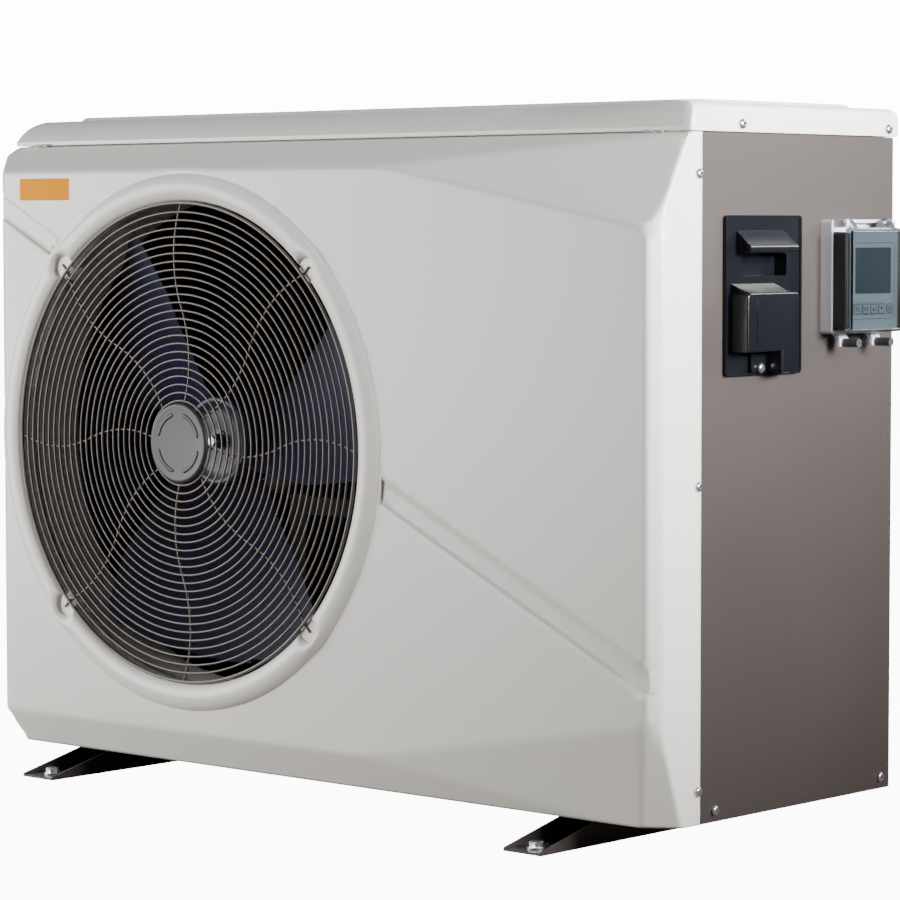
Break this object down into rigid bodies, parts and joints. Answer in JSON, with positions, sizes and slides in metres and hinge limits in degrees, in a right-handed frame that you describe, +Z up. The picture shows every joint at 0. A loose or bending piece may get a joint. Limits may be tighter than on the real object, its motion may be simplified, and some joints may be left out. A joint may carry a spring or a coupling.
{
  "type": "pool heat pump unit",
  "caption": "Free-standing air-to-water heat pump cabinet with a moulded front, guarded axial fan, side terminal cover, flip-lid controller and rear water unions.",
  "frame": {"origin": "on the ground at the middle of the four anchor slots in the foot rails", "axes": "+X to the right of someone facing the fan, +Y from the fan to the back, +Z up"},
  "size_m": [0.9846, 0.4655, 0.7125],
  "materials": {
    "white_abs": "satin",
    "taupe_steel": "satin",
    "taupe_plastic": "satin",
    "taupe_wire": "satin",
    "galvanised": "satin",
    "zinc": "bright",
    "steel": "machined",
    "motor_steel": "satin",
    "black_steel": "gloss",
    "rubber": "matte",
    "grey_pvc": "satin",
    "black_plastic": "satin",
    "black_gloss": "gloss",
    "titanium": "satin",
    "brass": "satin",
    "copper": "satin",
    "blue_fin": "satin",
    "aluminium": "satin",
    "navy_plastic": "satin",
    "circuit_board": "satin",
    "lilac_plastic": "satin",
    "controller_face": "satin",
    "display": "gloss",
    "key_plastic": "satin",
    "smoke_clear": "clear",
    "smoke_knob": "gloss",
    "yellow_label": "satin"
  },
  "bodies": {
    "cabinet": {"foot_rail_left": "taupe_steel", "foot_rail_right": "taupe_steel", "foot_bolts": "zinc", "base_pan": "galvanised", "drain_nozzle": "black_plastic", "front_panel": "white_abs", "top_cover": "white_abs", "side_panel_right": "taupe_steel", "rear_panel": "taupe_steel", "corner_post": "taupe_steel", "coil_guard_rear": "taupe_plastic", "coil_guard_left": "taupe_plastic", "partition_panel": "galvanised", "evaporator_fins": "blue_fin", "evaporator_tubes": "copper", "tube_sheets": "galvanised", "fan_shroud": "white_abs", "fan_motor": "motor_steel", "motor_screws": "zinc", "motor_bracket": "black_steel", "fan_grille": "taupe_wire", "grille_cap": "taupe_plastic", "grille_clips": "white_abs", "compressor": "black_steel", "compressor_feet": "rubber", "compressor_bolts": "zinc", "accumulator": "black_steel", "heat_exchanger": "grey_pvc", "titanium_coil": "titanium", "water_pipes": "grey_pvc", "union_sockets": "grey_pvc", "union_nuts": "black_plastic", "flow_switch": "black_plastic", "reversing_valve": "brass", "expansion_valve": "brass", "refrigerant_pipes": "copper", "electrical_box": "galvanised", "control_board": "circuit_board", "heat_sink": "aluminium", "handle_plate": "black_gloss", "terminal_block": "black_plastic", "terminal_cover": "black_gloss", "cable_gland": "black_plastic", "controller_base": "lilac_plastic", "controller_body": "controller_face", "controller_display": "display", "lid_hinge_pins": "zinc", "cabinet_screws": "zinc", "warning_label": "yellow_label"},
    "fan": {"fan_rotor": "navy_plastic", "fan_shaft": "steel", "fan_nut": "zinc"},
    "lid": {"controller_lid": "smoke_clear"},
    "front_latch": {"latch_front": "smoke_knob"},
    "rear_latch": {"latch_rear": "smoke_knob"},
    "key_function_cap": {"key_function": "key_plastic"},
    "key_mode_cap": {"key_mode": "key_plastic"},
    "key_up_cap": {"key_up": "key_plastic"},
    "key_down_cap": {"key_down": "key_plastic"},
    "key_power_cap": {"key_power": "key_plastic"}
  },
  "joints": [
    {"name": "fan_spin", "type": "hinge", "parent": "cabinet", "child": "fan", "pos_m": [-0.148, -0.118, 0.368], "axis": [0, 1, 0], "continuous": true},
    {"name": "lid_hinge", "type": "hinge", "parent": "cabinet", "child": "lid", "pos_m": [0.503, 0.1115, 0.5955], "axis": [0, -1, 0], "range_deg": [0, 150]},
    {"name": "front_latch_turn", "type": "hinge", "parent": "cabinet", "child": "front_latch", "pos_m": [0.5, 0.0845, 0.479], "axis": [1, 0, 0], "range_deg": [0, 90]},
    {"name": "rear_latch_turn", "type": "hinge", "parent": "cabinet", "child": "rear_latch", "pos_m": [0.5, 0.1385, 0.479], "axis": [1, 0, 0], "range_deg": [0, 90]},
    {"name": "key_function_press", "type": "slide", "parent": "cabinet", "child": "key_function_cap", "axis": [-1, 0, 0], "range_m": [0, 0.0005], "stiffness_N_per_m": 600, "springref_m": -0.001},
    {"name": "key_mode_press", "type": "slide", "parent": "cabinet", "child": "key_mode_cap", "axis": [-1, 0, 0], "range_m": [0, 0.0005], "stiffness_N_per_m": 600, "springref_m": -0.001},
    {"name": "key_up_press", "type": "slide", "parent": "cabinet", "child": "key_up_cap", "axis": [-1, 0, 0], "range_m": [0, 0.0005], "stiffness_N_per_m": 600, "springref_m": -0.001},
    {"name": "key_down_press", "type": "slide", "parent": "cabinet", "child": "key_down_cap", "axis": [-1, 0, 0], "range_m": [0, 0.0005], "stiffness_N_per_m": 600, "springref_m": -0.001},
    {"name": "key_power_press", "type": "slide", "parent": "cabinet", "child": "key_power_cap", "axis": [-1, 0, 0], "range_m": [0, 0.0005], "stiffness_N_per_m": 600, "springref_m": -0.001}
  ]
}
